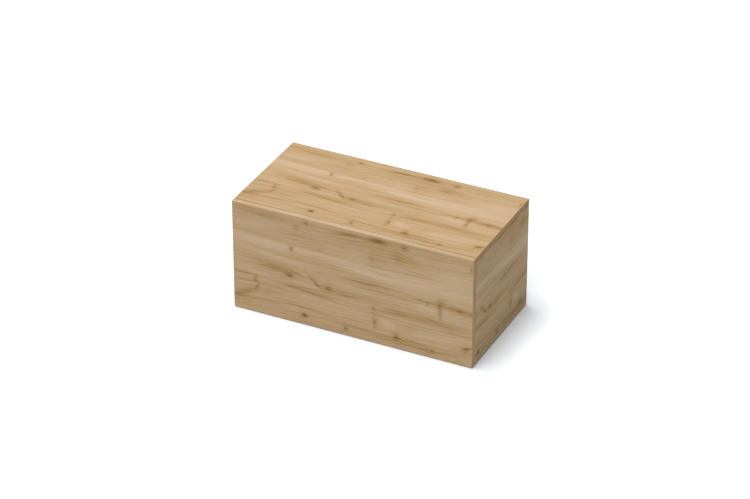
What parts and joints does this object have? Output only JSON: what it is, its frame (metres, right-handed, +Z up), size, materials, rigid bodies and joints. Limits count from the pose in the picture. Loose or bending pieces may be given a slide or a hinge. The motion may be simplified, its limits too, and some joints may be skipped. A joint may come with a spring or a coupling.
{
  "type": "book drop box",
  "caption": "Low boarded box in light oak decor with a rear posting slot and flap, a chute and a handleless push-to-open front drawer on ball-bearing runners.",
  "frame": {"origin": "on the floor, under the middle of the box, glides included", "axes": "+X to the right seen from the front, along the width; the front faces -Y; +Z up"},
  "size_m": [0.75, 0.377, 0.352],
  "materials": {
    "oak_decor": "melamine board with a knotty light oak print, fine pore texture, satin",
    "oak_edge": "edge band with the same oak print, satin",
    "grey_board": "thin melamine board, plain light grey, satin",
    "beech": "turned beech with fine grooves",
    "die_cast_zinc": "die-cast zinc, dull grey",
    "zinc_plated_steel": "bright zinc plating",
    "runner_steel": "rolled zinc-plated steel, faint draw lines",
    "ball_steel": "polished bearing steel",
    "cage_plastic": "moulded plastic, satin",
    "spring_steel": "drawn spring wire",
    "latch_plastic": "moulded light grey plastic, fine grain",
    "black_plastic": "moulded black plastic, fine grain",
    "grey_paint": "fine-textured powder coat",
    "grey_felt": "needle felt over foam, sewn rim"
  },
  "bodies": {
    "carcass": {"top_panel": "oak_decor", "top_edge_band": "oak_edge", "bottom_panel": "oak_decor", "bottom_edge_band": "oak_edge", "left_side_panel": "oak_decor", "left_side_edge_band": "oak_edge", "right_side_panel": "oak_decor", "right_side_edge_band": "oak_edge", "back_panel": "oak_decor", "carcass_dowels": "beech", "cam_locks": "die_cast_zinc", "cam_bolts": "zinc_plated_steel", "front_left_glide": "black_plastic", "front_right_glide": "black_plastic", "rear_left_glide": "black_plastic", "rear_right_glide": "black_plastic", "slot_bezel": "black_plastic", "slot_bezel_screws": "zinc_plated_steel", "slot_frame": "black_plastic", "slot_frame_screws": "zinc_plated_steel", "slot_flap_pin": "zinc_plated_steel", "chute": "grey_paint", "chute_screws": "zinc_plated_steel", "left_runner_cabinet_member": "runner_steel", "right_runner_cabinet_member": "runner_steel", "runner_cabinet_screws": "zinc_plated_steel", "left_latch_housing": "latch_plastic", "right_latch_housing": "latch_plastic", "latch_screws": "zinc_plated_steel"},
    "drawer": {"left_runner_drawer_member": "runner_steel", "right_runner_drawer_member": "runner_steel", "runner_drawer_screws": "zinc_plated_steel", "strike_plates": "zinc_plated_steel", "drawer_left_side": "oak_decor", "drawer_right_side": "oak_decor", "drawer_back": "oak_decor", "drawer_inner_front": "oak_decor", "drawer_bottom": "grey_board", "drawer_dowels": "beech", "landing_mat": "grey_felt", "front_panel": "oak_decor", "front_edge_band": "oak_edge", "front_panel_screws": "zinc_plated_steel"},
    "slot_flap": {"slot_flap": "grey_paint"},
    "left_runner_middle": {"left_runner_middle_member": "runner_steel"},
    "left_outer_cage": {"left_outer_ball_cage": "cage_plastic", "left_outer_balls": "ball_steel"},
    "left_inner_cage": {"left_inner_ball_cage": "cage_plastic", "left_inner_balls": "ball_steel"},
    "left_latch_plunger": {"left_latch_plunger": "latch_plastic", "left_latch_spring": "spring_steel"},
    "right_runner_middle": {"right_runner_middle_member": "runner_steel"},
    "right_outer_cage": {"right_outer_ball_cage": "cage_plastic", "right_outer_balls": "ball_steel"},
    "right_inner_cage": {"right_inner_ball_cage": "cage_plastic", "right_inner_balls": "ball_steel"},
    "right_latch_plunger": {"right_latch_plunger": "latch_plastic", "right_latch_spring": "spring_steel"}
  },
  "joints": [
    {"name": "drawer_slide", "type": "slide", "parent": "carcass", "child": "drawer", "axis": [0, -1, 0], "range_m": [0, 0.29]},
    {"name": "slot_flap_hinge", "type": "hinge", "parent": "carcass", "child": "slot_flap", "pos_m": [0, 0.1645, 0.318], "axis": [-1, 0, 0], "range_deg": [0, 95]},
    {"name": "left_runner_middle_slide", "type": "slide", "parent": "carcass", "child": "left_runner_middle", "axis": [0, -1, 0], "range_m": [0, 0.145]},
    {"name": "left_outer_cage_slide", "type": "slide", "parent": "carcass", "child": "left_outer_cage", "axis": [0, -1, 0], "range_m": [0, 0.0725]},
    {"name": "left_inner_cage_slide", "type": "slide", "parent": "carcass", "child": "left_inner_cage", "axis": [0, -1, 0], "range_m": [0, 0.2175]},
    {"name": "left_latch_press", "type": "slide", "parent": "carcass", "child": "left_latch_plunger", "axis": [0, 1, 0], "range_m": [0, 0.0015], "stiffness_N_per_m": 300},
    {"name": "right_runner_middle_slide", "type": "slide", "parent": "carcass", "child": "right_runner_middle", "axis": [0, -1, 0], "range_m": [0, 0.145]},
    {"name": "right_outer_cage_slide", "type": "slide", "parent": "carcass", "child": "right_outer_cage", "axis": [0, -1, 0], "range_m": [0, 0.0725]},
    {"name": "right_inner_cage_slide", "type": "slide", "parent": "carcass", "child": "right_inner_cage", "axis": [0, -1, 0], "range_m": [0, 0.2175]},
    {"name": "right_latch_press", "type": "slide", "parent": "carcass", "child": "right_latch_plunger", "axis": [0, 1, 0], "range_m": [0, 0.0015], "stiffness_N_per_m": 300}
  ],
  "couplings": [
    {"joint": "left_runner_middle_slide", "follows": "drawer_slide", "ratio": 0.5},
    {"joint": "left_outer_cage_slide", "follows": "drawer_slide", "ratio": 0.25},
    {"joint": "left_inner_cage_slide", "follows": "drawer_slide", "ratio": 0.75},
    {"joint": "right_runner_middle_slide", "follows": "drawer_slide", "ratio": 0.5},
    {"joint": "right_outer_cage_slide", "follows": "drawer_slide", "ratio": 0.25},
    {"joint": "right_inner_cage_slide", "follows": "drawer_slide", "ratio": 0.75}
  ]
}
